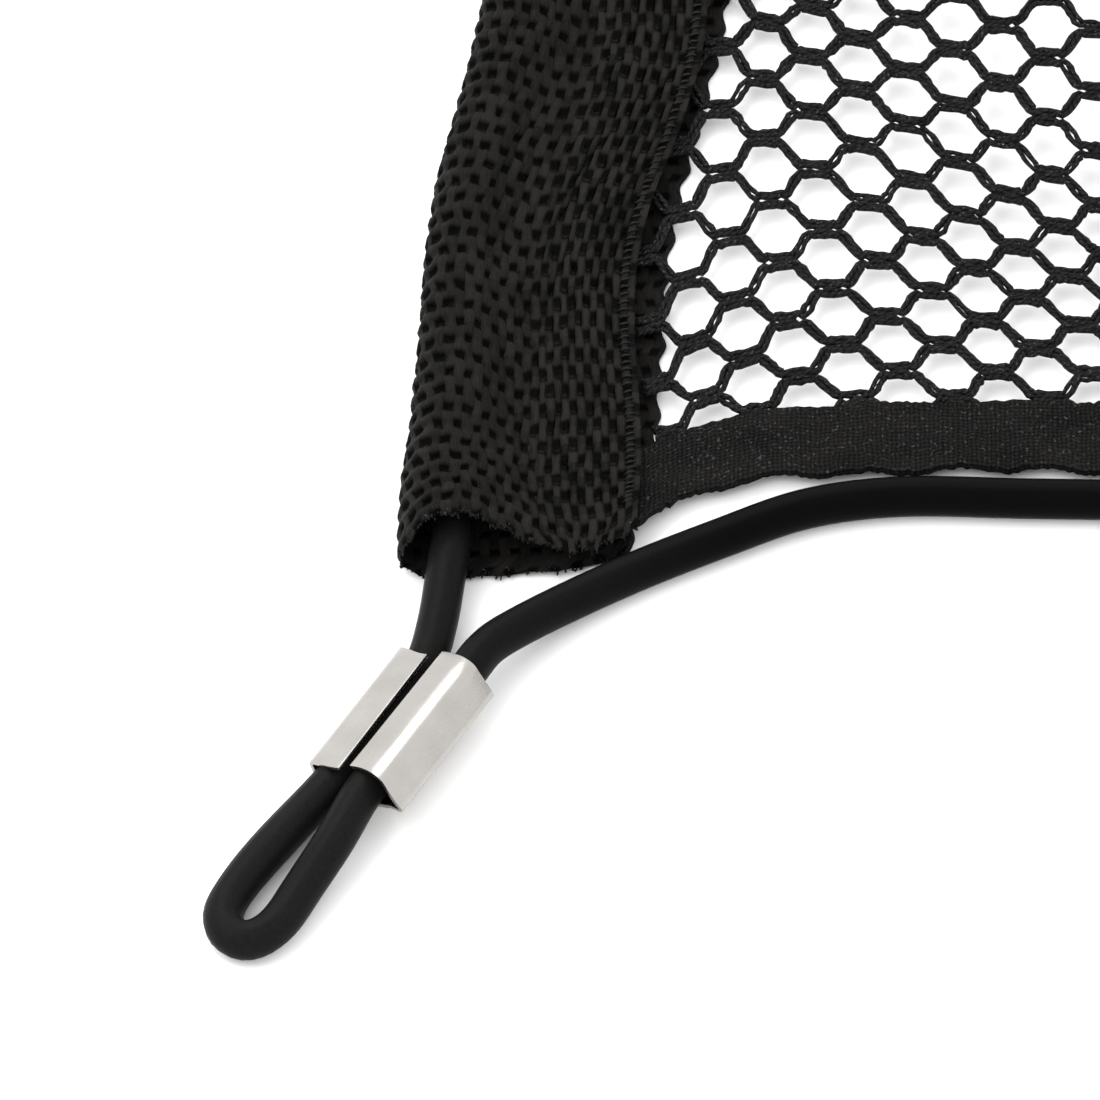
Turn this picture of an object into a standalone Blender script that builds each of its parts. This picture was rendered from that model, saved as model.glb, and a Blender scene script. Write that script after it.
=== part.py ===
"""Small elastic cargo net for a car boot, laid flat.

A warp-knitted net is bound with tape along its two long edges and sewn into a folded webbing
sleeve at each short edge. An elastic cord runs through the sleeves and along the taped edges.
At each corner it is doubled back through a two-barrel ferrule, which leaves a loop for a hook.

Lengths are in millimetres and become metres when a mesh is made. +X runs along the net, +Y
across it and +Z is up. The origin is the middle of the net, on the surface that it lies on.
The net looks the same when it is turned by half a turn, so the right sleeve and the upper tape
are the left sleeve and the lower tape turned about Z.
"""

import math

import bmesh
import bpy
from mathutils import Matrix, Vector

MM = 0.001
GAP = 0.3                    # air between two neighbouring pieces
SHARP_ANGLE = math.radians(50)
MERGE_DISTANCE = 0.01

# Webbing sleeves: 60 mm webbing folded lengthwise, fold outwards
CORNER_X = 169.0             # centre of the net to a sleeve's fold, measured at a corner
SLEEVE_HALF_LENGTH = 107.0
WEBBING_THICKNESS = 1.2
UPPER_PLY_WIDTH = 26.5       # fold to the free edge of the upper ply
LOWER_PLY_WIDTH = 29.0
CROWN_X = 4.1                # fold to the highest line of the upper ply, over the cord
CROWN_SLOPE = 9.0            # from there to where the upper ply lies level
WAIST_DEPTH = 11.0           # how far the elastic pulls the middle of a sleeve inwards
WAIST_REACH = 48.0
END_TRIM = 3.5               # the webbing's free corners are cut back by this much
END_TRIM_START = 19.0
MOUTH_LIFT = 1.6             # a sleeve's open end stands up more than its middle
MOUTH_FLARE = 1.0
MOUTH_SLOPE = 6.0
MOUTH_REACH = 18.0
SLEEVE_ROWS = 16

# Elastic cord
CORD_DIAMETER = 4.8
CORD_IN_SLEEVE = 4.5         # fold to the cord's axis
CORD_STATIONS = (GAP / 2, 13.4, 26.8, 40.1, 53.5, 66.9, 86.0)    # in a sleeve, from its middle

# Net
NET_THICKNESS = 1.0
NET_LEVEL = WEBBING_THICKNESS + GAP + NET_THICKNESS / 2
NET_HALF_LENGTH = 149.0      # to the net's own edge, inside the sleeve, before the waist
NET_HALF_WIDTH = 90.0        # to the net's own edge, inside the tape
CELL_COLUMNS = 25            # every second stitch column and row of the real net
CELL_ROWS = 11
LEG_WIDTH = 2.4
JOINT_WIDTH = 4.6
LEAN = 4.5                   # how far the columns of cells lean beside the tapes
LEAN_REACH = 22.0
CALM_EDGE = 22.0             # the net lies level for about this far from its bound edges
PULLED_SHARE = 0.4           # the outer share of the net's width that follows the drawn tape

# Edge tape, folded round the net's long edges
TAPE_THICKNESS = 1.0
TAPE_WIDTH = 9.9
TAPE_OUTER_Y = 93.0
CORNER_PULL = 7.8            # the corners draw the tape outwards by this much
CORNER_PULL_REACH = 8.0
TAPE_COLUMNS = 24

# Ferrule: a bright strip bent round two stretches of the cord
FERRULE_LENGTH = 19.8
FERRULE_THICKNESS = 0.5
BARREL_SPACING = 6.4
BARREL_RADIUS = CORD_DIAMETER / 2 + GAP + FERRULE_THICKNESS / 2
SEAM_ANGLE = math.radians(38)
FERRULE_CENTRE = Vector((-169.7, -133.7, 4.35))
FERRULE_HEADING = Vector((-0.529, -0.849, 0.0)).normalized()
FERRULE_ROLL = math.radians(20)
BARREL_STEPS = 9

# Soft waves of the net where it lies off the surface
WAVES = [
    {"x": -92.0, "y": -20.0, "radius": 25.0, "height": 3.6},
    {"x": -101.0, "y": 46.0, "radius": 27.0, "height": 2.2},
    {"x": -38.0, "y": 22.0, "radius": 34.0, "height": 3.0},
    {"x": -22.0, "y": -48.0, "radius": 24.0, "height": 1.8},
    {"x": 44.0, "y": -16.0, "radius": 32.0, "height": 3.2},
    {"x": 38.0, "y": 52.0, "radius": 24.0, "height": 1.6},
    {"x": 96.0, "y": 26.0, "radius": 28.0, "height": 3.4},
    {"x": 104.0, "y": -44.0, "radius": 24.0, "height": 2.0},
]

# How far each corner's ferrule and loop are swung from the first one's direction, in degrees
CORNERS = {
    "lower_left": {"side": Vector((1, 1)), "swing": 0.0},
    "lower_right": {"side": Vector((-1, 1)), "swing": 5.0},
    "upper_right": {"side": Vector((-1, -1)), "swing": -4.0},
    "upper_left": {"side": Vector((1, -1)), "swing": 7.0},
}
SWING_PIVOT = Vector((-162.0, -112.0, 0.0))

# The cord's way from the sleeve's mouth to its barrel, round the loop, and from the second
# barrel to the middle of the long edge. "swing" is the share of the corner's swing that a point
# takes, and "steps" is the number of points of the tube from this row to the next.
MOUTH_ROUTE = [
    {"at": (-164.9, -103.0, 3.95), "swing": 0.0, "steps": 1},
    {"at": (-164.9, -110.5, 3.7), "swing": 0.1, "steps": 1},
    {"at": (-165.5, -117.4, 3.3), "swing": 0.6, "steps": 1},
]
LOOP_ROUTE = [
    {"at": (-180.2, -144.6, 2.75), "swing": 1.0, "steps": 1},
    {"at": (-184.3, -149.2, 2.45), "swing": 1.0, "steps": 1},
    {"at": (-188.6, -155.3, 2.4), "swing": 1.0, "steps": 2},
    {"at": (-190.5, -160.4, 2.4), "swing": 1.0, "steps": 2},
    {"at": (-188.0, -163.6, 2.4), "swing": 1.0, "steps": 2},
    {"at": (-184.2, -161.4, 2.6), "swing": 1.0, "steps": 2},
    {"at": (-181.0, -156.2, 3.3), "swing": 1.0, "steps": 1},
    {"at": (-177.2, -150.0, 4.6), "swing": 1.0, "steps": 1},
]
EDGE_ROUTE = [
    {"at": (-159.2, -122.4, 5.0), "swing": 0.7, "steps": 1},
    {"at": (-155.9, -118.3, 4.2), "swing": 0.35, "steps": 1},
    {"at": (-149.6, -113.3, 2.9), "swing": 0.1, "steps": 1},
    {"at": (-141.5, -108.3, 2.4), "swing": 0.0, "steps": 1},
    {"at": (-132.0, -103.6, 2.4), "swing": 0.0, "steps": 1},
    {"at": (-122.0, -99.2, 2.4), "swing": 0.0, "steps": 1},
    {"at": (-111.0, -97.4, 2.4), "swing": 0.0, "steps": 1},
    {"at": (-96.0, -97.7, 2.4), "swing": 0.0, "steps": 1},
    {"at": (-78.0, -97.9, 2.4), "swing": 0.0, "steps": 1},
    {"at": (-58.0, -97.2, 2.4), "swing": 0.0, "steps": 1},
    {"at": (-38.0, -97.4, 2.4), "swing": 0.0, "steps": 1},
    {"at": (-18.0, -98.1, 2.4), "swing": 0.0, "steps": 1},
]


def smooth_step(value):
    value = min(max(value, 0.0), 1.0)
    return value * value * (3 - 2 * value)


def waist(y):
    """How far the elastic pulls the short side inwards at y."""
    return WAIST_DEPTH * math.exp(-((y / WAIST_REACH) ** 2))


def corner_pull(x):
    """How far the corners draw the taped edge outwards at x."""
    inner_edge = CORNER_X - UPPER_PLY_WIDTH
    return CORNER_PULL * math.exp(-(inner_edge - abs(x)) / CORNER_PULL_REACH)


def new_object(name, data, material, collection):
    obj = bpy.data.objects.new(name, data)
    collection.objects.link(obj)
    if data.materials:
        data.materials[0] = material
    else:
        data.materials.append(material)
    return obj


def new_material(name, colour, roughness, metallic=0.0):
    material = bpy.data.materials.new(name)
    material.use_nodes = True
    shader = material.node_tree.nodes["Principled BSDF"]
    shader.inputs["Base Color"].default_value = (*colour, 1.0)
    shader.inputs["Roughness"].default_value = roughness
    shader.inputs["Metallic"].default_value = metallic
    return material


def sheet(name, across, along, place, thickness, material, collection):
    """A grid of across by along faces, put in shape by place(u, v), with a thickness."""
    bm = bmesh.new()
    bmesh.ops.create_grid(bm, x_segments=across, y_segments=along, size=0.5)
    for vert in bm.verts:
        vert.co = place(vert.co.x + 0.5, vert.co.y + 0.5) * MM
    mesh = bpy.data.meshes.new(name)
    bm.to_mesh(mesh)
    bm.free()
    mesh.shade_smooth()
    mesh.set_sharp_from_angle(angle=SHARP_ANGLE)
    obj = new_object(name, mesh, material, collection)
    add_thickness(obj, thickness)
    return obj


def add_thickness(obj, thickness):
    solidify = obj.modifiers.new("thickness", "SOLIDIFY")
    solidify.thickness = thickness * MM
    solidify.offset = 0.0
    solidify.use_even_offset = True


def turned_copy(original, name, collection):
    """The same piece on the other side of the net, half a turn away."""
    copy = original.copy()
    copy.name = name
    copy.rotation_euler.z = math.pi
    collection.objects.link(copy)
    return copy


def sleeve_section(mouth):
    """Middle line of the folded webbing, as (distance from the fold, height) pairs.

    It runs from the free edge of the lower ply round the fold to that of the upper ply.
    mouth is 1 at a sleeve's open end and 0 in its middle.
    """
    lower = WEBBING_THICKNESS / 2
    upper = NET_LEVEL + NET_THICKNESS / 2 + GAP + WEBBING_THICKNESS / 2
    crown = WEBBING_THICKNESS * 1.5 + 2 * GAP + CORD_DIAMETER + MOUTH_LIFT * mouth
    fold = WEBBING_THICKNESS / 2 - MOUTH_FLARE * mouth
    slope = CROWN_SLOPE + MOUTH_SLOPE * mouth
    points = []
    for step in range(4):
        points.append((LOWER_PLY_WIDTH + (CROWN_X - LOWER_PLY_WIDTH) * step / 4, lower))
    for step in range(7):
        angle = math.radians(-90 - 30 * step)
        points.append((CROWN_X + (CROWN_X - fold) * math.cos(angle),
                       (crown + lower) / 2 + (crown - lower) / 2 * math.sin(angle)))
    for step in range(1, 9):
        distance = CROWN_X + (UPPER_PLY_WIDTH - CROWN_X) * step / 8
        fall = 0.5 + 0.5 * math.cos(math.pi * min((distance - CROWN_X) / slope, 1.0))
        points.append((distance, upper + (crown - upper) * fall))
    return points


def make_sleeves(material, collection):
    across = len(sleeve_section(0)) - 1

    def place(u, v):
        y = (2 * v - 1) * SLEEVE_HALF_LENGTH
        mouth = math.exp(-((SLEEVE_HALF_LENGTH - abs(y)) / MOUTH_REACH) ** 2)
        distance, z = sleeve_section(mouth)[round(u * across)]
        corner_width = LOWER_PLY_WIDTH - END_TRIM_START
        trim = END_TRIM * smooth_step((distance - END_TRIM_START) / corner_width)
        y *= 1 - trim / SLEEVE_HALF_LENGTH
        return Vector((distance - CORNER_X + waist(y), y, z))

    left = sheet("sleeve_left", across, SLEEVE_ROWS, place, WEBBING_THICKNESS, material, collection)
    turned_copy(left, "sleeve_right", collection)


def tape_section():
    """Middle line of the folded tape, as (distance from its outer edge, height) pairs."""
    radius = NET_THICKNESS / 2 + GAP + TAPE_THICKNESS / 2
    fold = radius + TAPE_THICKNESS / 2
    points = [(TAPE_WIDTH, NET_LEVEL - radius)]
    for step in range(4):
        angle = math.radians(-90 - 60 * step)
        points.append((fold + radius * math.cos(angle), NET_LEVEL + radius * math.sin(angle)))
    points.append((TAPE_WIDTH, NET_LEVEL + radius))
    return points


def make_tapes(material, collection):
    section = tape_section()
    across = len(section) - 1
    reach = CORNER_X - LOWER_PLY_WIDTH - waist(TAPE_OUTER_Y - TAPE_WIDTH) - GAP

    def place(u, v):
        distance, z = section[round(u * across)]
        # stations crowd towards the ends, where the corner draws the tape outwards
        x = reach * math.sin((v - 0.5) * math.pi)
        return Vector((x, -TAPE_OUTER_Y - corner_pull(x) + distance, z))

    lower = sheet("tape_lower", across, TAPE_COLUMNS, place, TAPE_THICKNESS, material, collection)
    turned_copy(lower, "tape_upper", collection)


def net_height(x, y):
    """Height of the net's middle surface: level at its bound edges, in soft waves between."""
    from_side = CORNER_X - LOWER_PLY_WIDTH - waist(y) - abs(x)
    from_tape = TAPE_OUTER_Y - TAPE_WIDTH - abs(y)
    free = smooth_step(from_side / CALM_EDGE) * smooth_step(from_tape / CALM_EDGE)
    rise = 0.0
    for wave in WAVES:
        distance = math.hypot(x - wave["x"], y - wave["y"]) / wave["radius"]
        rise += wave["height"] * math.exp(-distance * distance)
    return NET_LEVEL + rise * free


def draw_net(x, y):
    """Where a point of the flat, even net lies once the net is sewn in and let go."""
    x *= 1 - waist(y) / NET_HALF_LENGTH
    across = abs(x) / NET_HALF_LENGTH
    below = math.exp(-(NET_HALF_WIDTH + y) / LEAN_REACH)
    above = math.exp(-(NET_HALF_WIDTH - y) / LEAN_REACH)
    x += LEAN * (below - above) * (1 - across * across)
    pulled = smooth_step((abs(y) / NET_HALF_WIDTH - 1) / PULLED_SHARE + 1)
    y += math.copysign(corner_pull(x) * pulled, y)
    return Vector((x, y, net_height(x, y)))


def make_net(material, collection):
    """A honeycomb sheet: joints lie along X, and alternate columns are half a row apart."""
    half_columns = CELL_COLUMNS // 2
    half_rows = CELL_ROWS // 2
    row_pitch = 2 * NET_HALF_WIDTH / CELL_ROWS
    corner = NET_HALF_LENGTH / (1.5 * half_columns + 1)
    flatten = row_pitch / (corner * math.sqrt(3))
    upright = Matrix.Rotation(math.pi / 2, 4, "Z")

    bm = bmesh.new()
    for column in range(-half_columns, half_columns + 1):
        odd = column % 2
        for row in range(-half_rows - odd, half_rows + 1):
            centre = Vector((1.5 * corner * column, row_pitch * (row + odd / 2), 0.0))
            shape = Matrix.Translation(centre) @ Matrix.Diagonal((1, flatten, 1, 1)) @ upright
            bmesh.ops.create_circle(bm, cap_ends=True, segments=6, radius=corner, matrix=shape)
    bmesh.ops.remove_doubles(bm, verts=bm.verts, dist=MERGE_DISTANCE)
    for vert in bm.verts:
        vert.co.y = min(max(vert.co.y, -NET_HALF_WIDTH), NET_HALF_WIDTH)

    # the half cells at the long edges stay closed: they lie between the tape's plies
    innermost = NET_HALF_WIDTH - row_pitch / 3
    whole_cells = [face for face in bm.faces if abs(face.calc_center_median().y) < innermost]
    bmesh.ops.inset_individual(bm, faces=whole_cells, thickness=LEG_WIDTH / 2,
                               use_even_offset=True)
    for gap in whole_cells:
        middle = gap.calc_center_median().y
        shrink = (row_pitch - JOINT_WIDTH) / (row_pitch - LEG_WIDTH)
        for vert in gap.verts:
            vert.co.y = middle + (vert.co.y - middle) * shrink
    bmesh.ops.delete(bm, geom=whole_cells, context="FACES")
    for vert in bm.verts:
        vert.co = draw_net(vert.co.x, vert.co.y) * MM
    bmesh.ops.recalc_face_normals(bm, faces=bm.faces)

    mesh = bpy.data.meshes.new("net_panel")
    bm.to_mesh(mesh)
    bm.free()
    add_thickness(new_object("net_panel", mesh, material, collection), NET_THICKNESS)


def ferrule_section():
    """Middle line of the bent strip, from one edge of its seam round both barrels to the other."""
    half = BARREL_SPACING / 2
    points = []
    for step in range(BARREL_STEPS + 1):
        angle = SEAM_ANGLE + (1.5 * math.pi - SEAM_ANGLE) * step / BARREL_STEPS
        points.append((BARREL_RADIUS * math.cos(angle) - half, BARREL_RADIUS * math.sin(angle)))
    return points + [(-x, z) for x, z in reversed(points)]


def corner_frame(corner):
    """A function that carries a point of the lower left corner to this one."""
    side = CORNERS[corner]["side"]
    swing = math.radians(CORNERS[corner]["swing"])

    def carry(point, share=1.0):
        turned = SWING_PIVOT + Matrix.Rotation(swing * share, 3, "Z") @ (point - SWING_PIVOT)
        return Vector((turned.x * side.x, turned.y * side.y, point.z))

    return carry


def barrel_points(barrel):
    """The two ends of a barrel's axis at the first corner: first far from the loop, then near."""
    level = Vector((-FERRULE_HEADING.y, FERRULE_HEADING.x, 0.0))
    outward = math.cos(FERRULE_ROLL) * level + math.sin(FERRULE_ROLL) * Vector((0, 0, 1))
    centre = FERRULE_CENTRE + outward * (BARREL_SPACING / 2) * barrel
    reach = FERRULE_HEADING * (FERRULE_LENGTH / 2)
    return centre - reach, centre + reach


def make_ferrules(material, collection):
    section = ferrule_section()
    across = len(section) - 1

    def place(u, v):
        x, z = section[round(u * across)]
        return Vector((x, (v - 0.5) * FERRULE_LENGTH, z))

    for corner in CORNERS:
        carry = corner_frame(corner)
        piece = sheet("ferrule_" + corner, across, 1, place, FERRULE_THICKNESS, material, collection)
        sleeve_far, sleeve_near = [carry(end) for end in barrel_points(-1)]
        edge_far, edge_near = [carry(end) for end in barrel_points(1)]
        x_axis = (edge_far - sleeve_far).normalized()
        y_axis = (edge_near - edge_far).normalized()
        z_axis = x_axis.cross(y_axis)
        if z_axis.z < 0:
            y_axis, z_axis = -y_axis, -z_axis
        turn = Matrix((x_axis, y_axis, z_axis)).transposed()
        middle = (sleeve_far + sleeve_near + edge_far + edge_near) / 4
        piece.matrix_world = Matrix.Translation(middle * MM) @ turn.to_4x4()


def smooth_route(rows):
    """Points along a smooth curve through the rows, with each row's own number of steps."""
    points = [row["at"] for row in rows]
    route = []
    for index in range(len(points) - 1):
        before = points[max(index - 1, 0)]
        start = points[index]
        end = points[index + 1]
        after = points[min(index + 2, len(points) - 1)]
        chord = (end - start).length
        leave = (end - before) / max((end - before).length, 1e-6) * chord
        arrive = (after - start) / max((after - start).length, 1e-6) * chord
        for step in range(rows[index]["steps"]):
            t = step / rows[index]["steps"]
            route.append((2 * t ** 3 - 3 * t ** 2 + 1) * start + (t ** 3 - 2 * t ** 2 + t) * leave
                         + (3 * t ** 2 - 2 * t ** 3) * end + (t ** 3 - t ** 2) * arrive)
    route.append(points[-1])
    return route


def corner_route(corner):
    """Rows of the cord's way from the middle of a sleeve to the middle of a long edge."""
    carry = corner_frame(corner)
    side = CORNERS[corner]["side"]
    in_sleeve = WEBBING_THICKNESS + GAP + CORD_DIAMETER / 2
    rows = []
    for y in CORD_STATIONS:
        x = -CORNER_X + CORD_IN_SLEEVE + waist(y)
        rows.append({"at": Vector((x * side.x, -y * side.y, in_sleeve)), "steps": 1})

    def add(point, share, steps):
        rows.append({"at": carry(Vector(point), share), "steps": steps})

    for row in MOUTH_ROUTE:
        add(row["at"], row["swing"], row["steps"])
    far, near = barrel_points(-1)
    add(far, 1.0, 1)
    add(near, 1.0, 1)
    for row in LOOP_ROUTE:
        add(row["at"], row["swing"], row["steps"])
    far, near = barrel_points(1)
    add(near, 1.0, 1)
    add(far, 1.0, 1)
    for row in EDGE_ROUTE:
        add(row["at"], row["swing"], row["steps"])
    return rows


def make_cord(name, first_corner, last_corner, material, collection):
    """The cord from the middle of one sleeve, along a long edge, to the middle of the other."""
    route = smooth_route(corner_route(first_corner))
    route += reversed(smooth_route(corner_route(last_corner)))
    curve = bpy.data.curves.new(name, "CURVE")
    curve.dimensions = "3D"
    curve.bevel_depth = CORD_DIAMETER / 2 * MM
    curve.bevel_resolution = 2
    curve.use_fill_caps = True
    spline = curve.splines.new("POLY")
    spline.points.add(len(route) - 1)
    for point, place in zip(spline.points, route):
        point.co = (*(place * MM), 1.0)
    new_object(name, curve, material, collection)


def main():
    for obj in list(bpy.data.objects):
        bpy.data.objects.remove(obj, do_unlink=True)
    collection = bpy.data.collections.new("cargo_net")
    bpy.context.scene.collection.children.link(collection)

    webbing = new_material("webbing", (0.045, 0.044, 0.042), 0.75)
    netting = new_material("netting", (0.032, 0.032, 0.032), 0.7)
    binding = new_material("binding", (0.036, 0.036, 0.035), 0.72)
    elastic = new_material("elastic", (0.05, 0.049, 0.047), 0.55)
    nickel = new_material("nickel", (0.78, 0.77, 0.74), 0.18, metallic=1.0)

    make_sleeves(webbing, collection)
    make_tapes(binding, collection)
    make_net(netting, collection)
    make_ferrules(nickel, collection)
    make_cord("cord_lower", "lower_left", "lower_right", elastic, collection)
    make_cord("cord_upper", "upper_right", "upper_left", elastic, collection)


main()
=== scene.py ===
import math
import random

import bpy
import numpy as np
from mathutils import Matrix, Vector


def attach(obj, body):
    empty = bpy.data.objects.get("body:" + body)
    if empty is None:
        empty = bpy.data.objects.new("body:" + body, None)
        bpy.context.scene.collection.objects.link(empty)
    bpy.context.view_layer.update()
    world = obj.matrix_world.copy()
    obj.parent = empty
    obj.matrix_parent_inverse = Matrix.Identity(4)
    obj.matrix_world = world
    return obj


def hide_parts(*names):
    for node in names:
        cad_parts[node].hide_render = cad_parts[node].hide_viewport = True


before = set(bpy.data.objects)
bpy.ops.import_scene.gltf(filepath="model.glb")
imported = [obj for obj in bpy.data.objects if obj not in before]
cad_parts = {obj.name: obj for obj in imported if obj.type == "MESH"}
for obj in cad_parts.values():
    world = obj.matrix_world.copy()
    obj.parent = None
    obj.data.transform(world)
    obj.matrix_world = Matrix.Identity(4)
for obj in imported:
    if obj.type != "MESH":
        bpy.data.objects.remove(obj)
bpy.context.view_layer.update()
bpy.ops.object.select_all(action="DESELECT")
random.seed(7)
mm = 0.001
body = "root"


def smooth(value):
    value = np.clip(value, 0.0, 1.0)
    return value * value * (3 - 2 * value)


def table(rows, key):
    # a smooth curve through rows of (place, height), read at key
    places, heights = np.array(rows).T
    key = np.clip(key, places[0], places[-1])
    index = np.clip(np.searchsorted(places, key) - 1, 0, len(places) - 2)
    share = (key - places[index]) / (places[index + 1] - places[index])
    return heights[index] + (heights[index + 1] - heights[index]) * smooth(share)


# ---- looks

class Wire:
    # an output of a node; sums and products with it add Math nodes
    def __init__(self, look, socket):
        self.look = look
        self.socket = socket

    def math(self, operation, *others, first=None):
        values = [self if first is None else first, *others]
        return self.look.node("Math", {"operation": operation}, dict(enumerate(values)))

    def __add__(self, other):
        return self.math("ADD", other)

    def __radd__(self, other):
        return self.math("ADD", other)

    def __sub__(self, other):
        return self.math("SUBTRACT", other)

    def __rsub__(self, other):
        return self.math("SUBTRACT", self, first=other)

    def __mul__(self, other):
        return self.math("MULTIPLY", other)

    def __rmul__(self, other):
        return self.math("MULTIPLY", other)

    def __gt__(self, other):
        return self.math("GREATER_THAN", other)


class Look:
    # one material, with the method that makes its nodes
    def __init__(self, name, roughness, metallic=0.0, specular=0.5):
        self.material = bpy.data.materials.new(name)
        self.material.use_nodes = True
        self.tree = self.material.node_tree
        self.shader = self.tree.nodes["Principled BSDF"]
        self.shader.inputs["Roughness"].default_value = roughness
        self.shader.inputs["Metallic"].default_value = metallic
        self.shader.inputs["Specular IOR Level"].default_value = specular

    def node(self, kind, settings=None, sockets=None, output=0):
        made = self.tree.nodes.new("ShaderNode" + kind)
        for name, value in (settings or {}).items():
            setattr(made, name, value)
        for name, value in (sockets or {}).items():
            if isinstance(value, Wire):
                self.tree.links.new(value.socket, made.inputs[name])
            else:
                made.inputs[name].default_value = value
        return Wire(self, made.outputs[output])

    def feed(self, name, wire):
        self.tree.links.new(wire.socket, self.shader.inputs[name])

    def place(self, kind="Object"):
        return self.node("TexCoord", output=kind)

    def parts(self, wire):
        split = self.node("SeparateXYZ", {}, {0: wire})
        return [Wire(self, output) for output in split.socket.node.outputs]

    def noise(self, place, scale, detail=3.0, roughness=0.55):
        return self.node("TexNoise", {"noise_dimensions": "3D"},
                         {"Vector": place, "Scale": scale, "Detail": detail, "Roughness": roughness})

    def stretch(self, place, scale):
        return self.node("Mapping", {}, {"Vector": place, "Scale": scale})

    def rise(self, wire, start, end, **settings):
        # 0 up to the start, 1 from the end on
        return self.node("MapRange", settings, {0: wire, 1: start, 2: end, 3: 0.0, 4: 1.0})

    def fall(self, wire, start, end, **settings):
        return self.node("MapRange", settings, {0: wire, 1: start, 2: end, 3: 1.0, 4: 0.0})

    def mix(self, share, one, two):
        return self.node("Mix", {"data_type": "RGBA"}, {0: share, 6: one, 7: two}, 2)

    def bump(self, height, distance, strength=1.0):
        normal = self.node("Bump", {}, {"Height": height, "Distance": distance, "Strength": strength})
        self.feed("Normal", normal)


def grey(value, warm=0.0):
    return (value * (1 + warm), value, value * (1 - warm), 1)


webbingFinish = {
    "dark": 0.0011,
    "light": 0.0122,
    # painted shade: the near-black colour laid into the pits where a yarn dives under a pick, and how much
    # of it covers the cloth there
    "pitShade": 0.0001,
    "pitShadeShare": 0.94,
    "warm": 0.07,
    "looseFull": 11.0,     # the yarns nearest to the free edge, by number, are the slackest
    "looseTo": 18.0,
    "diveAt": 0.03,        # shares of the way from one dive of a yarn to its next
    "dive": 0.165,
    "looseDive": 0.085,
    # the crossing yarn in each pit catches light, so it is kept out of the painted pit shade: its place,
    # width and share
    "weftAt": 0.055,
    "weft": 0.075,
    "weftShare": 0.65,
    # painted shade along the grooves between the lengthwise yarns, stronger among the slack yarns by the
    # free edge
    "grooveShade": 0.12,
    "looseGrooveShade": 0.42,
    "middle": 40.2,        # picks from a sleeve's end to its middle, and to where the cut ends are melted
    "meltedFrom": 39.2,
    "meltedFull": 40.0,
}


def webbingLook():
    f = webbingFinish
    look = Look("webbing", 0.55, specular=0.035)
    across, along = look.parts(look.place("UV"))[:2]
    yarn = across.math("FLOOR")
    turn = (along + yarn) * 0.5
    past = turn - turn.math("ROUND")    # 0 where the yarn dives, 0.5 on a float's middle
    loose = look.fall(across, f["looseFull"], f["looseTo"])
    # painted shade: the pits where a yarn dives are darkened in the colour, except where the crossing yarn
    # shows; the same mask deepens the bump
    fromDive = (past - f["diveAt"]).math("ABSOLUTE") - loose * f["looseDive"]
    pitShade = look.fall(fromDive, 0.0, f["dive"], interpolation_type="SMOOTHSTEP")
    side = (across - yarn - 0.5).math("ABSOLUTE") * 2
    fromWeft = (past + f["weftAt"]).math("ABSOLUTE")
    weft = look.fall(fromWeft, 0.0, f["weft"], interpolation_type="SMOOTHSTEP")
    pitShade = (pitShade * 1.5).math("MINIMUM", 1.0) * (1 - weft * (1 - side * side) * f["weftShare"])
    # painted shade: the grooves between yarns are darkened in the colour; the bump uses the same mask
    grooveShade = side * side * side * (loose * f["looseGrooveShade"] + f["grooveShade"])
    cell = look.node("CombineXYZ", {}, {0: yarn, 1: turn.math("ROUND")})
    lot = look.node("TexWhiteNoise", {"noise_dimensions": "2D"}, {"Vector": cell})
    strands = look.noise(look.node("CombineXYZ", {}, {0: across * 9, 1: along * 1.6}), 1.0, detail=4.0)
    share = lot * (loose * 0.45 + 0.45) + strands * 1.6 - grooveShade * 0.6 - 0.4
    cloth = look.mix(share.math("MAXIMUM", 0.0), grey(f["dark"], f["warm"]), grey(f["light"], f["warm"]))
    look.feed("Base Color", look.mix(pitShade * f["pitShadeShare"], cloth, grey(f["pitShade"], f["warm"])))
    look.feed("Roughness", 0.42 + strands * 0.35)
    look.bump(strands * 0.8 - pitShade - grooveShade, 0.0004, strength=0.7)
    ends = look.rise((along - f["middle"]).math("ABSOLUTE"), f["meltedFrom"], f["meltedFull"])
    melted = look.noise(look.place(), 1500.0) > 0.68
    look.feed("Coat Weight", ends * melted * 0.6)
    return look.material


netFinish = {"dark": 0.001, "light": 0.0145, "warm": 0.02, "glint": 0.07, "plies": 430}    # plies to a metre


def netLook():
    f = netFinish
    look = Look("netYarn", 0.5, specular=0.06)
    fine = look.noise(look.place(), 2600.0, detail=4.0, roughness=0.65)
    broad = look.noise(look.place(), 500.0)
    length, round = look.parts(look.place("UV"))[:2]
    plies = ((length * f["plies"] + round * 2) * math.pi).math("SINE").math("ABSOLUTE")
    share = fine * 0.6 + broad * 0.4 + plies * 0.5 - 0.4
    base = look.mix(share, grey(f["dark"]), grey(f["light"], f["warm"]))
    glint = look.noise(look.place(), 3300.0, detail=1.0) > 0.68
    look.feed("Base Color", look.mix(glint * 0.6, base, grey(f["glint"])))
    look.feed("Roughness", 0.35 + fine * 0.35)
    look.bump(fine * 0.5 + plies * 0.6, 0.00022, strength=0.9)
    return look.material


tapeFinish = {"dark": 0.0003, "light": 0.0108, "warm": 0.06, "glint": 0.06, "crooked": 1.6}


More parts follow.
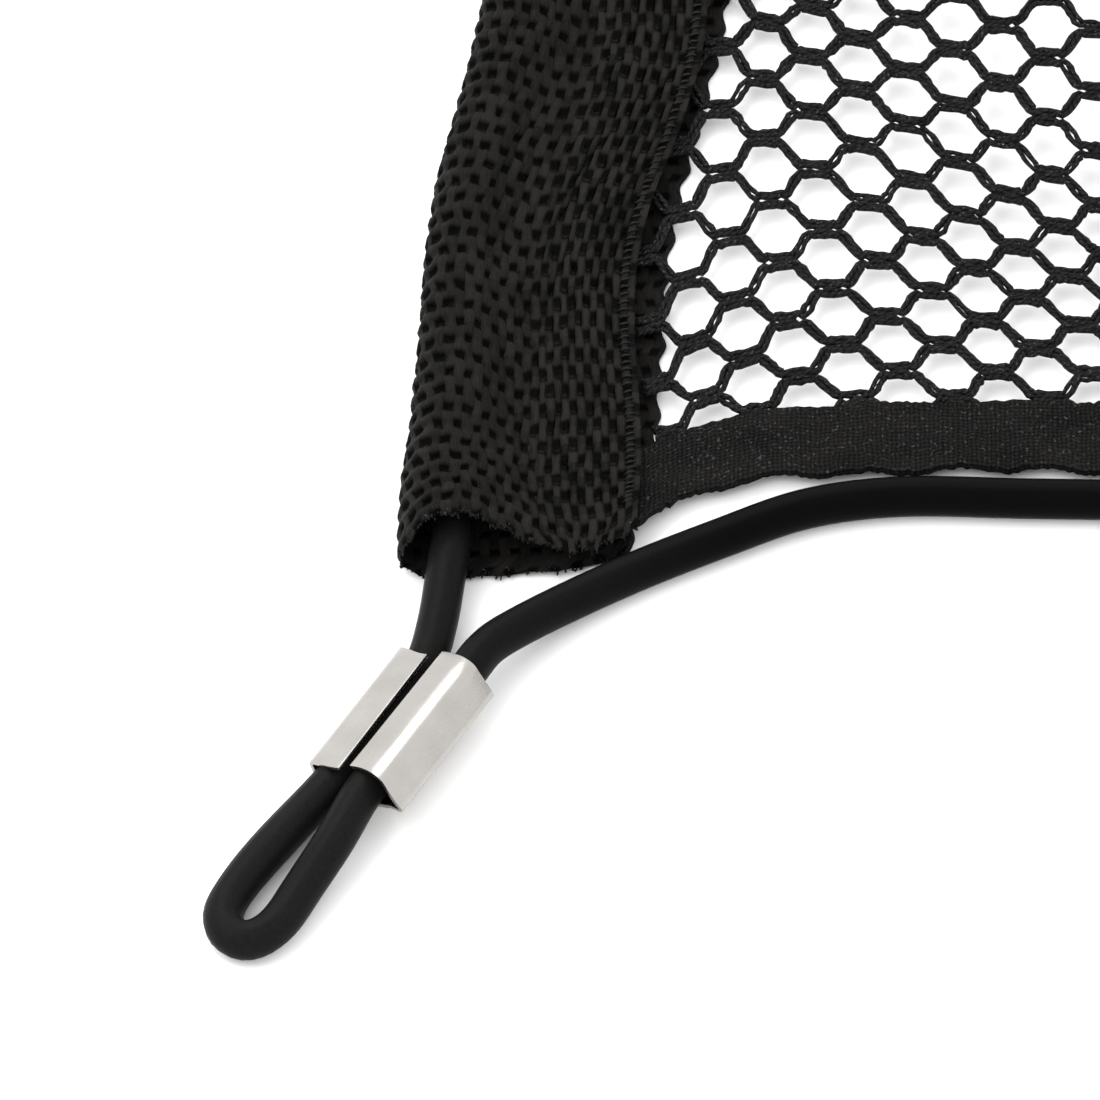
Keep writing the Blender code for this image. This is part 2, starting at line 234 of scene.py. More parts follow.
def tapeLook():
    f = tapeFinish
    look = Look("bindingTape", 0.6, specular=0.035)
    crooked = look.noise(look.place(), 420.0) * f["crooked"]
    across, along = [part + crooked for part in look.parts(look.place("UV"))[:2]]
    ribs = (across * math.pi).math("SINE").math("ABSOLUTE") * 0.5
    weave = ribs + (along * math.pi).math("SINE").math("ABSOLUTE") * 0.5
    fine = look.noise(look.place(), 2500.0)
    broad = look.noise(look.stretch(look.place(), (120, 260, 120)), 1.0)
    share = weave * 0.9 + fine * 0.9 + broad * 0.8 - 1.0
    base = look.mix(share, grey(f["dark"]), grey(f["light"], f["warm"]))
    glint = look.noise(look.place(), 2500.0, detail=1.0) > 0.67
    look.feed("Base Color", look.mix(glint * weave * 0.6, base, grey(f["glint"])))
    look.feed("Roughness", 0.5 + fine * 0.3)
    look.bump(weave * 0.6 + fine * 0.4, 0.00022, strength=0.8)
    return look.material


cordFinish = {
    "dark": 0.0003,
    "light": 0.001,
    "loopLitDark": 0.0025,    # painted light: paler towards the loops, where more light falls on the cord
    "loopLitLight": 0.0105,
    "loopLitWarm": 0.03,
    "loopLitFrom": 0.13,      # metres from the net's middle, along it
    "loopLitFull": 0.175,
}


def cordLook():
    f = cordFinish
    look = Look("elasticCover", 0.5, specular=0.03)
    fine = look.noise(look.place(), 2600.0)
    streaks = look.noise(look.stretch(look.place("UV"), (1400, 26, 1)), 1.0)
    share = streaks * 0.5 + fine * 0.5
    # painted light: the cord's colour grows paler and warmer towards the loops at the corners, standing in
    # for the stronger light there
    loop = look.rise(look.parts(look.place())[0].math("ABSOLUTE"), f["loopLitFrom"], f["loopLitFull"])
    dark = look.mix(loop, grey(f["dark"]), grey(f["loopLitDark"]))
    light = look.mix(loop, grey(f["light"]), grey(f["loopLitLight"], f["loopLitWarm"]))
    look.feed("Base Color", look.mix(share, dark, light))
    look.feed("Roughness", 0.3 + fine * 0.2)
    look.bump(share, 0.00008, strength=0.6)
    return look.material


nickelFinish = {"dull": (0.285, 0.272, 0.255, 1), "bright": (0.405, 0.391, 0.372, 1)}


def nickelLook():
    look = Look("nickel", 0.2, metallic=1.0)
    drawn = look.noise(look.stretch(look.place("UV"), (90, 2, 1)), 1.0, detail=4.0)
    patches = look.noise(look.place(), 150.0)
    look.feed("Base Color", look.mix(patches, nickelFinish["dull"], nickelFinish["bright"]))
    look.feed("Roughness", 0.16 + drawn * 0.12 + patches * 0.1)
    look.bump(drawn, 0.00003, strength=0.5)
    return look.material


threadFinish = {"dark": 0.002, "light": 0.0095, "warm": 0.05}


def threadLook():
    f = threadFinish
    look = Look("sewingThread", 0.45, specular=0.1)
    fine = look.noise(look.place(), 4000.0)
    look.feed("Base Color", look.mix(fine, grey(f["dark"], f["warm"]), grey(f["light"], f["warm"])))
    look.bump(fine, 0.00005, strength=0.5)
    return look.material


# ---- camera, floor and light

view = {"target": (-152.1, -103.5, 0.0), "elevation": 52.0, "distance": 5000.0, "width": 129.4,
        "sensor": 36.0}


def makeCamera():
    data = bpy.data.cameras.new("camera")
    data.sensor_width = view["sensor"]
    data.lens = view["sensor"] * view["distance"] / view["width"]
    camera = bpy.data.objects.new("camera", data)
    bpy.context.scene.collection.objects.link(camera)
    rise = math.radians(view["elevation"])
    back = Vector((0.0, -math.cos(rise), math.sin(rise)))
    camera.location = (Vector(view["target"]) + back * view["distance"]) * mm
    camera.rotation_euler = (math.pi / 2 - rise, 0.0, 0.0)
    bpy.context.scene.camera = camera


lamps = [
    {"name": "softAbove", "at": (-0.45, 0.75, 1.1), "aim": (-0.12, -0.08, 0.0), "size": 0.8, "watts": 8.4},
    {"name": "softLeft", "at": (-0.40, -0.14, 0.30), "aim": (-0.18, -0.12, 0.0), "size": 0.3, "watts": 0.7},
]
surround = {"colour": (1.0, 1.0, 1.0), "strength": 1.7}


def makeLight():
    for lamp in lamps:
        data = bpy.data.lights.new(lamp["name"], "AREA")
        data.size = lamp["size"]
        data.energy = lamp["watts"]
        light = bpy.data.objects.new(lamp["name"], data)
        bpy.context.scene.collection.objects.link(light)
        light.location = lamp["at"]
        toward = Vector(lamp["aim"]) - Vector(lamp["at"])
        light.rotation_euler = toward.to_track_quat("-Z", "Y").to_euler()
    world = bpy.data.worlds.new("studio")
    world.use_nodes = True
    sky = world.node_tree.nodes["Background"]
    sky.inputs["Color"].default_value = (*surround["colour"], 1.0)
    sky.inputs["Strength"].default_value = surround["strength"]
    bpy.context.scene.world = world
    bpy.context.scene.view_settings.view_transform = "Standard"


floorShape = {"size": 12.0, "level": -0.00005, "dark": 0.88, "light": 0.9}


def makeFloor():
    look = Look("paleFloor", 0.9, specular=0.0)
    faint = look.noise(look.place(), 3.0)
    look.feed("Base Color", look.mix(faint, grey(floorShape["dark"]), grey(floorShape["light"])))
    bpy.ops.mesh.primitive_plane_add(size=floorShape["size"], location=(0.0, 0.0, floorShape["level"]))
    floor = bpy.context.object
    floor.name = "floor"
    floor.data.materials.append(look.material)
    bpy.ops.object.select_all(action="DESELECT")


# ---- shared ways of making

def finishPiece(piece, material, slot, *nodes):
    piece.data.materials.clear()
    piece.data.materials.append(material)
    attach(piece, body)
    if nodes:
        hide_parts(*nodes)
    return piece


def newObject(name, data):
    made = bpy.data.objects.new(name, data)
    bpy.context.scene.collection.objects.link(made)
    return made


def halfTurn(piece, name):
    # the same piece on the other side of the net, in its own mesh
    other = newObject(name, piece.data.copy())
    other.data.transform(Matrix.Rotation(math.pi, 4, "Z"))
    return other


def yarns(name, runs, radius, sides=0, thickness=None):
    # tubes along lists of points, one for each run; thickness holds each point's share of the radius
    curve = bpy.data.curves.new(name, "CURVE")
    curve.dimensions = "3D"
    curve.bevel_depth = radius * mm
    curve.bevel_resolution = sides
    curve.use_fill_caps = True
    for index, run in enumerate(runs):
        spline = curve.splines.new("POLY")
        spline.points.add(len(run) - 1)
        places = np.ones((len(run), 4))
        places[:, :3] = np.array(run) * mm
        spline.points.foreach_set("co", places.ravel())
        spline.points.foreach_set("tilt", np.full(len(run), math.pi / 4))
        if thickness:
            spline.points.foreach_set("radius", thickness[index])
    piece = newObject(name, curve)
    bpy.ops.object.select_all(action="DESELECT")
    piece.select_set(True)
    bpy.context.view_layer.objects.active = piece
    bpy.ops.object.convert(target="MESH")
    piece = bpy.context.object
    piece.name = name
    bpy.ops.object.mode_set(mode="EDIT")
    bpy.ops.mesh.select_all(action="SELECT")
    bpy.ops.mesh.remove_doubles(threshold=0.000002)
    bpy.ops.object.mode_set(mode="OBJECT")
    piece.data.shade_smooth()
    bpy.ops.object.select_all(action="DESELECT")
    return piece


# ---- corners of the net, as the solids have them

waistShape = {"depth": 11.0, "reach": 48.0}
sleeve = {"cornerX": 169.0, "halfLength": 107.0, "upperWidth": 26.5, "lowerWidth": 29.0}
corners = {
    "lower_left": {"side": (1, 1), "swing": 0.0},
    "lower_right": {"side": (-1, 1), "swing": 5.0},
    "upper_right": {"side": (-1, -1), "swing": -4.0},
    "upper_left": {"side": (1, -1), "swing": 7.0},
}
swingPivot = Vector((-162.0, -112.0, 0.0))
ferrule = {
    "length": 19.2,
    "thickness": 0.5,
    "spacing": 6.4,
    "centre": Vector((-169.7, -133.7, 4.35)),
    "heading": Vector((-0.529, -0.849, 0.0)).normalized(),
    "roll": 20.0,
}
cord = {
    "diameter": 4.8,
    "inSleeve": 4.5,
    "level": 3.9,
    "step": 0.8,
    "easing": 6,
    "fullAt": (-184.9, -149.3, 2.75),    # where the loops are slack, the cord is fuller
    "full": 0.04,
    "fullReach": 6.0,
}
# how far the cord lies off the barrels' axes
barrelShifts = {"sleeveNear": -0.15, "edgeFar": -0.5, "edgeNear": -1.75}
sleeveStations = [0.15, 13.4, 26.8, 40.1, 53.5, 66.9, 86.0]    # from the middle of a sleeve
mouthRoute = [    # where, and the share of the corner's swing
    ((-163.6, -103.0, 3.95), 0.0),
    ((-164.4, -110.5, 3.7), 0.1),
    ((-165.4, -117.4, 3.3), 0.6),
]
loopRoute = [
    (-180.8, -144.4, 2.75),
    (-184.6, -149.5, 2.75),
    (-188.6, -155.3, 2.4),
    (-190.5, -160.4, 2.4),
    (-188.0, -163.6, 2.4),
    (-184.2, -161.4, 2.6),
    (-181.0, -156.2, 3.3),
    (-177.2, -150.0, 4.6),
]
edgeRoute = [
    ((-159.7, -122.0, 5.0), 0.7),
    ((-155.9, -118.3, 4.2), 0.35),
    ((-149.6, -113.3, 2.9), 0.1),
    ((-141.5, -108.3, 2.4), 0.0),
    ((-132.0, -103.6, 2.4), 0.0),
    ((-122.0, -99.2, 2.4), 0.0),
    ((-111.0, -97.4, 2.4), 0.0),
    ((-96.0, -97.7, 2.4), 0.0),
    ((-78.0, -97.9, 2.4), 0.0),
    ((-58.0, -97.2, 2.4), 0.0),
    ((-38.0, -97.4, 2.4), 0.0),
    ((-18.0, -98.1, 2.4), 0.0),
]


def waist(y):
    return waistShape["depth"] * np.exp(-(y / waistShape["reach"]) ** 2)


def carry(corner, point, share=1.0):
    # a point of the lower left corner, taken to this one
    side = corners[corner]["side"]
    turn = Matrix.Rotation(math.radians(corners[corner]["swing"]) * share, 3, "Z")
    turned = swingPivot + turn @ (Vector(point) - swingPivot)
    return Vector((turned.x * side[0], turned.y * side[1], turned.z))


def barrelEnds(barrel, farShift=0.0, nearShift=0.0):
    # the ends of a barrel's axis at the first corner: far from the loop, then near it
    heading = ferrule["heading"]
    level = Vector((-heading.y, heading.x, 0.0))
    roll = math.radians(ferrule["roll"])
    outward = math.cos(roll) * level + math.sin(roll) * Vector((0, 0, 1))
    centre = ferrule["centre"] + outward * (ferrule["spacing"] / 2) * barrel
    reach = heading * (ferrule["length"] / 2)
    return centre - reach + outward * farShift, centre + reach + outward * nearShift


def smoothRoute(points, spacing):
    # points a short step apart on a smooth curve through the given ones
    route = []
    for index in range(len(points) - 1):
        before = points[max(index - 1, 0)]
        start, end = points[index], points[index + 1]
        after = points[min(index + 2, len(points) - 1)]
        chord = (end - start).length
        leave = (end - before).normalized() * chord
        arrive = (after - start).normalized() * chord
        steps = max(1, round(chord / spacing))
        for step in range(steps):
            t = step / steps
            route.append((2 * t ** 3 - 3 * t ** 2 + 1) * start + (t ** 3 - 2 * t ** 2 + t) * leave
                         + (3 * t ** 2 - 2 * t ** 3) * end + (t ** 3 - t ** 2) * arrive)
    route.append(points[-1])
    for _ in range(cord["easing"]):
        eased = [(a + 2 * b + c) / 4 for a, b, c in zip(route, route[1:], route[2:])]
        route = [route[0]] + eased + [route[-1]]
    return route


def cornerRoute(corner):
    # the cord from the middle of a sleeve, round this corner's loop, to the middle of a long edge
    side = corners[corner]["side"]
    route = []
    for y in sleeveStations:
        x = -sleeve["cornerX"] + cord["inSleeve"] + waist(y)
        route.append(Vector((x * side[0], -y * side[1], cord["level"])))
    route += [carry(corner, point, share) for point, share in mouthRoute]
    route += [carry(corner, point) for point in barrelEnds(-1, 0.0, barrelShifts["sleeveNear"])]
    route += [carry(corner, point) for point in loopRoute]
    farEnd, nearEnd = barrelEnds(1, barrelShifts["edgeFar"], barrelShifts["edgeNear"])
    route += [carry(corner, nearEnd), carry(corner, farEnd)]
    route += [carry(corner, point, share) for point, share in edgeRoute]
    return route


# ---- ferrules: a strip bent round both stretches of the cord

lips = {    # angle of each lip round its barrel, in degrees from the line between the barrels
    -1: {"loopEnd": 53.0, "farEnd": 56.0},
    1: {"loopEnd": 39.0, "farEnd": 42.0},
}
facets = {    # the crimped barrels' flattened faces: their directions, in degrees, and distances
    -1: [(98, 2.62), (180, 2.75), (270, 2.95)],
    1: [(98, 3.1), (66, 3.2), (17, 2.68), (-72, 2.8)],
}
crimp = {
    "sharpness": 14.0,
    "steps": 44,
    "rings": 8,
    "shift": -0.3,
    "bulge": 1.2,            # the strip's ends are cut askew: at the barrel by the long edge
    "bulgeTo": 0.65,
    "farLip": -0.8,
    "near": (0.95, -0.65),   # and at the barrel by the sleeve, at its lip and then on the way round
    "far": (0.3, -0.9),
    "rest": 0.28,
    "bevel": 0.12,
    "bevelAngle": 50,
    "smoothAngle": 40,
}


def barrelRadius(barrel, angle):
    p = crimp["sharpness"]
    total = sum((max(math.cos(math.radians(angle - way)), 0.0) / far) ** p for way, far in facets[barrel])
    return total ** (-1 / p)


def makeFerrule(corner, material):
    half = ferrule["spacing"] / 2
    steps, rings = crimp["steps"], crimp["rings"]
    bpy.ops.mesh.primitive_grid_add(x_subdivisions=2 * steps + 1, y_subdivisions=rings, size=1.0)
    piece = bpy.context.object
    piece.name = "crimp_" + corner
    farSleeve, nearSleeve = [carry(corner, end) for end in barrelEnds(-1)]
    farEdge, nearEdge = [carry(corner, end) for end in barrelEnds(1)]
    xAxis = (farEdge - farSleeve).normalized()
    yAxis = (nearEdge - farEdge).normalized()
    zAxis = xAxis.cross(yAxis)
    if zAxis.z < 0:
        zAxis = -zAxis
    middle = (farSleeve + nearSleeve + farEdge + nearEdge) / 4
    for vert in piece.data.vertices:
        column = round((vert.co.x + 0.5) * (2 * steps + 1))
        barrel = -1 if column <= steps else 1
        step = column if barrel < 0 else 2 * steps + 1 - column
        share = vert.co.y + 0.5
        lip = lips[barrel]["farEnd"] + (lips[barrel]["loopEnd"] - lips[barrel]["farEnd"]) * share
        turn = lip + (270 - lip) * step / steps
        angle = turn if barrel < 0 else 180 - turn
        radius = barrelRadius(barrel, angle)
        along = float(smooth(2 * step / steps))
        if barrel > 0:
            past = (step / steps - crimp["bulgeTo"]) / (1 - crimp["bulgeTo"])
            nearPush = crimp["bulge"] * along * float(1 - smooth(past))
            farPush = crimp["farLip"] * (1 - along)
        else:
            nearPush = crimp["near"][0] + crimp["near"][1] * along
            farPush = crimp["far"][0] + crimp["far"][1] * along
        reach = vert.co.y * ferrule["length"] + crimp["shift"] + nearPush * share + farPush * (1 - share)
        x = radius * math.cos(math.radians(angle)) + half * barrel
        z = radius * math.sin(math.radians(angle))
        vert.co = (middle + xAxis * x + yAxis * reach + zAxis * z) * mm
        vert.co.z = max(vert.co.z, crimp["rest"] * mm)    # it rests on the table
    bpy.ops.object.mode_set(mode="EDIT")
    bpy.ops.mesh.select_all(action="SELECT")
    bpy.ops.mesh.normals_make_consistent(inside=False)
    bpy.ops.object.mode_set(mode="OBJECT")
    wall = piece.modifiers.new("wall", "SOLIDIFY")
    wall.thickness = ferrule["thickness"] * mm
    wall.offset = 0.0
    wall.use_even_offset = True
    edge = piece.modifiers.new("edge", "BEVEL")
    edge.width = crimp["bevel"] * mm
    edge.segments = 2
    edge.limit_method = "ANGLE"
    edge.angle_limit = math.radians(crimp["bevelAngle"])
    for modifier in ("wall", "edge"):
        bpy.ops.object.modifier_apply(modifier=modifier)
    bpy.ops.object.shade_smooth_by_angle(angle=math.radians(crimp["smoothAngle"]))
    bpy.ops.object.select_all(action="DESELECT")
    return finishPiece(piece, material, "nickel", "ferrule_" + corner)


# ---- elastic cord, in two halves of one circuit

circuit = {"cord_lower": ("lower_left", "lower_right"), "cord_upper": ("upper_right", "upper_left")}


def makeCords(material):
    for node, (first, last) in circuit.items():
        points = cornerRoute(first) + cornerRoute(last)[::-1]
        route = smoothRoute(points, cord["step"])
        length = sum((b - a).length for a, b in zip(route, route[1:]))
        spots = [carry(corner, cord["fullAt"]) for corner in (first, last)]
        full = []
        for point in route:
            near = sum(math.exp(-((point - spot).length / cord["fullReach"]) ** 2) for spot in spots)
            full.append(1 + cord["full"] * near)
        piece = yarns("elastic_" + node[5:], [route], cord["diameter"] / 2, sides=5, thickness=[full])
        finishPiece(piece, material, "elastic", node)
        route[0] * mm
        [point * mm for point in route]
        print(node, "is", round(length, 1), "mm long")


# ---- folded cloth: a band of webbing or tape, with an outer and an inner face

cloth = {"tableGap": 0.02, "smoothAngle": 75}


def foldedBand(name, rowPlaces, sectionAt, outer, inner, lift, wander):
    # sectionAt(y) gives the section's middle line from one free edge to the other, as x, y and z;
    # outer and inner are shares of its length; lift gives a face's height and its yarn counts;
    # wander is how far the lengthwise yarns stray sideways
    around = len(outer) + len(inner)
    # the extra rows at both ends bring the two faces together on the middle line
    rowPlaces = np.concatenate([rowPlaces[:1], rowPlaces, rowPlaces[-1:]])
    places = np.zeros((len(rowPlaces), around + 1, 3))
    counts = np.zeros((len(rowPlaces), around + 1, 2))
    nearest = outer[np.argmin(abs(inner[:, None] - outer[None]), axis=1)]
    faces = np.concatenate([np.ones(len(outer)), -np.ones(len(inner)), np.ones(1)])
    for row, y in enumerate(rowPlaces):
        closing = row in (0, len(rowPlaces) - 1)
        where = np.concatenate([outer, nearest if closing else inner, outer[:1]])
        line = sectionAt(y)
        lengths = np.concatenate([[0], np.cumsum(np.linalg.norm(np.diff(line, axis=0), axis=1))])
        key = where * lengths[-1] + wander(where * lengths[-1], y) * np.sin(math.pi * where) ** 0.5
        middle = np.stack([np.interp(key, lengths, line[:, axis]) for axis in range(3)], 1)
        slope = np.gradient(line, lengths, axis=0)
        slope = np.stack([np.interp(key, lengths, slope[:, axis]) for axis in range(3)], 1)
        slope /= np.linalg.norm(slope, axis=1)[:, None]
        normal = np.cross(np.array([0.0, 1.0, 0.0]), slope)
        height, across, along = lift(where, y, faces)
        places[row] = middle if closing else middle + normal * height[:, None]
        counts[row] = np.stack([across, along * np.ones(around + 1)], 1)
    # pressed flat where it lies on the table
    places[:, :, 2] = np.maximum(places[:, :, 2], cloth["tableGap"])
    bpy.ops.mesh.primitive_grid_add(x_subdivisions=around, y_subdivisions=len(rowPlaces) - 1, size=1.0)
    piece = bpy.context.object
    piece.name = name
    mesh = piece.data
    mesh.vertices.foreach_set("co", (places * mm).ravel())
    corner = np.zeros(len(mesh.loops), int)
    mesh.loops.foreach_get("vertex_index", corner)
    mesh.uv_layers[0].data.foreach_set("uv", counts.reshape(-1, 2)[corner].ravel())
    bpy.ops.object.mode_set(mode="EDIT")
    bpy.ops.mesh.select_all(action="SELECT")
    bpy.ops.mesh.remove_doubles(threshold=0.000001)
    bpy.ops.mesh.select_all(action="DESELECT")
    bpy.ops.mesh.select_non_manifold()
    bpy.ops.mesh.fill_holes(sides=0)
    bpy.ops.mesh.select_all(action="SELECT")
    bpy.ops.mesh.normals_make_consistent(inside=False)
    bpy.ops.object.mode_set(mode="OBJECT")
    bpy.ops.object.shade_smooth_by_angle(angle=math.radians(cloth["smoothAngle"]))
    bpy.ops.object.select_all(action="DESELECT")
    return piece


webbing = {
    "width": 59.0,
    "warp": 1.12,         # mm from one lengthwise yarn to the next
    "warpAtEdge": 0.9,    # and near the upper free edge
    "edgeZone": 12.0,
    "pick": 2.66,
    "dive": 0.86,         # half of the gap between two floats of a yarn
    "diveDepth": 0.58,
    "float": 0.20,        # height of a float's shoulders over the middle line
    "round": 0.11,
    "plump": 0.14,
    "inner": 0.42,        # middle line to inner face
    "level": 3.4,         # middle line of the upper ply where it lies level
    "bottom": 0.62,       # and of the lower ply
    "crownX": 4.1,
    "crown": 7.2,
    "crownSlope": 9.0,
    "mouthLift": 1.6,
    "mouthFlare": 1.2,
    "mouthSlope": 6.0,
    "mouthReach": 17.0,
    "cutReach": 9.0,      # how far from an end its cut still shows
    "tooth": 0.2,
    "toothReach": 2.0,
    "edgeWave": (1.15, 62.0, 66.0),    # height, length and shift of the upper free edge's wave
    "lowerWave": 0.35,
    "lowerDraw": 2.5,
    "sway": (0.25, 7.0),
    "pucker": (0.18, 15.0, 8.0),    # height, place and reach
    "cornerLift": (0.7, 5.0, 97.0, 7.0),    # height, reach across, place and reach along
    "foldEdge": 1.1,
    "upperPoints": 80,    # of the section
    "foldPoints": 42,
    "lowerPoints": 50,
    "stray": (0.30, 0.16),
    "looseTo": 18.0,      # slack yarns by the free edge, counted from it
    "looseOver": 7.0,
    "jitter": 0.16,
    "looseJitter": 0.14,
    "diveFloor": 0.15,
    "looseDive": 0.45,
    "yarnWide": 0.93,
    "looseRound": 1.1,
    "uneven": 0.07,
    "looseUneven": 0.17,
    "weft": 0.16,         # a crossing yarn's height in a dive, where it is and how wide
    "weftAt": 0.085,
    "weftWide": 0.05,
    "rib": 0.2,
    "ribZone": (19.0, 37.0),    # from the upper free edge, round the fold
    "fineZone": (0.6, 31.0),    # the upper ply, which shows
    "marginFrom": 54.6,         # and the lower ply's margin
    "faceMean": 0.2,
    "innerWeave": 0.6,
    "thinning": 0.6,      # toward the cut ends
    "thinReach": 0.8,
}
ridges = [(14.0, 2.2, -0.35), (19.0, 3.5, 0.55)]    # along the upper ply: place, reach and height
pickRows = [0.0, 0.10, 0.19, 0.34, 0.66, 0.81, 0.90]    # rows of points from one pick to the next
cutLine = [    # share of the webbing's width from the upper free edge, and how far the cut is drawn back
    (0.00, 4.2), (0.04, 2.6), (0.08, 1.4), (0.12, 0.7), (0.165, 0.4), (0.24, 1.1), (0.31, 1.8),
    (0.40, 2.4), (0.46, 2.1), (0.50, 1.4), (0.54, 0.5), (0.58, -0.1), (0.62, -0.4), (0.70, -0.4),
    (0.74, -0.7), (0.83, -0.5), (0.90, 0.3), (0.95, 1.3), (1.00, 2.9),
]
toothCount = webbing["upperPoints"] + webbing["foldPoints"] + webbing["lowerPoints"]
cutTeeth = np.random.default_rng(9).normal(0, 1, toothCount)
cutTeeth = cutTeeth + 1.2 * np.repeat(np.random.default_rng(8).normal(0, 1, toothCount // 4), 4)
lots = np.random.default_rng(5).uniform(-1, 1, (3, 80, 90))    # small differences between floats


def yarnCount(s):
    w = webbing
    return np.minimum(s, w["edgeZone"]) / w["warpAtEdge"] + np.maximum(s - w["edgeZone"], 0) / w["warp"]


def plainWeave(across, along):
    # height of the webbing's face over its middle line: long plump floats that dive under every other pick
    w = webbing
    yarn = np.floor(across)
    turn = (along + yarn) / 2
    nearest = np.round(turn)
    away = abs(turn - nearest) * 2 * w["pick"]
    lot = lots[:, yarn.astype(int) % lots.shape[1], np.floor(turn).astype(int) % lots.shape[2]]
    loose = smooth((w["looseTo"] - across) / w["looseOver"])
    side = 2 * (across - yarn - 0.5) + (w["jitter"] + w["looseJitter"] * loose) * lot[1]
    body = np.sqrt(np.clip(1 - (w["yarnWide"] * side) ** 2, 0.0, 1.0))
    weft = np.exp(-(((turn - nearest) + w["weftAt"]) / w["weftWide"]) ** 2) * body
    dive = 1 - smooth((away - w["diveFloor"] - w["looseDive"] * loose) / (w["dive"] - w["diveFloor"]))
    dive = dive * (0.7 + 0.3 * body)
    crown = w["round"] * (1 + w["looseRound"] * loose)
    top = w["float"] + crown * (body - 0.2 * loose) + w["plump"] * np.sin(math.pi * (turn - np.floor(turn)))
    top = top + (w["uneven"] + w["looseUneven"] * loose) * lot[0]
    return top - w["diveDepth"] * dive * (0.85 + 0.15 * lot[2]) + w["weft"] * weft


def sleeveSection(y):
    w = webbing
    fromEnd = sleeve["halfLength"] - abs(y)
    mouth = math.exp(-(fromEnd / w["mouthReach"]) ** 2)
    near = math.exp(-(fromEnd / w["cutReach"]) ** 2)
    high, long, shift = w["edgeWave"]
    upper = sleeve["upperWidth"] - high * math.cos(2 * math.pi * (y + shift) / long)
    crown = w["crown"] + w["mouthLift"] * mouth
    fold = w["bottom"] - w["mouthFlare"] * mouth
    slope = w["crownSlope"] + w["mouthSlope"] * mouth
    d = np.linspace(upper, w["crownX"], w["upperPoints"])
    fall = 0.5 + 0.5 * np.cos(math.pi * np.minimum((d - w["crownX"]) / slope, 1.0))
    z = w["level"] + (crown - w["level"]) * fall
    z += sum(height * np.exp(-((d - place) / reach) ** 2) for place, reach, height in ridges)
    height, place, reach = w["pucker"]
    z += height * np.sin(y / 3.9 + d / 5.0) * np.exp(-((d - place) / reach) ** 2)
    height, across, place, reach = w["cornerLift"]
    z += height * np.exp(-((d - upper) / across) ** 2) * math.exp(-((abs(y) - place) / reach) ** 2)
    angle = np.linspace(math.pi / 2, 3 * math.pi / 2, w["foldPoints"] + 1)[1:]
    half = (crown - w["bottom"]) / 2
    foldD = w["crownX"] + (w["crownX"] - fold) * np.cos(angle)
    foldZ = w["bottom"] + 2 * half * (0.5 + 0.5 * np.sin(angle)) ** (1 + w["foldEdge"] * mouth)
    lower = sleeve["lowerWidth"] + w["lowerWave"] * math.sin(y * math.pi / w["pick"]) - w["lowerDraw"] * near
    lowD = np.linspace(w["crownX"], lower, w["lowerPoints"] + 1)[1:]
    d = np.concatenate([d, foldD, lowD])
    z = np.concatenate([z, foldZ, np.full(w["lowerPoints"], w["bottom"])])
    share = np.linspace(0, 1, len(d))
    teeth = w["tooth"] * math.exp(-(fromEnd / w["toothReach"]) ** 2) * cutTeeth
    back = table(cutLine, share) * near + teeth
    line = np.zeros((len(d), 3))
    line[:, 0] = d - sleeve["cornerX"] + waist(y) + w["sway"][0] * math.sin(y / w["sway"][1])
    s = share * w["width"]
    broad, narrow = w["stray"]
    stray = broad * np.sin(s / 2.3 + y / 9.0) * np.sin(y / 6.1 + s / 11.0)
    stray += narrow * np.sin(s * 1.7 + y / 2.2)
    line[:, 1] = y - math.copysign(1.0, y) * back + stray
    line[:, 2] = z
    return line


def webbingWander(s, y):
    short = np.sin(y / 3.1 + s * 1.3) + np.sin(y / 1.7 + s * 2.9)
    return 0.10 * short + 0.20 * np.sin(y / 13.0 + s / 4.0)


def webbingLift(where, y, faces):
    w = webbing
    s = where * w["width"]
    across = yarnCount(s)
    along = (y + sleeve["halfLength"]) / w["pick"]
    weave = plainWeave(across, along)
    fine = smooth((s - w["fineZone"][0]) / 1.6) * smooth((w["fineZone"][1] - s) / 1.5)
    fine += smooth(s - w["marginFrom"]) * (faces < 0)
    rest = w["float"] + w["faceMean"]
    fade = smooth((s - w["ribZone"][0]) / 6.0) * smooth((w["ribZone"][1] - s) / 3.0)
    rib = w["rib"] * np.cos(2 * math.pi * (along - 0.45)) * fade
    outside = rest + (weave - rest) * fine + rib
    thin = 1 - w["thinning"] * math.exp(-((sleeve["halfLength"] - abs(y)) / w["thinReach"]) ** 2)
    height = np.where(faces > 0, outside, -w["inner"] - w["innerWeave"] * (outside - rest)) * thin
    return height, across, along


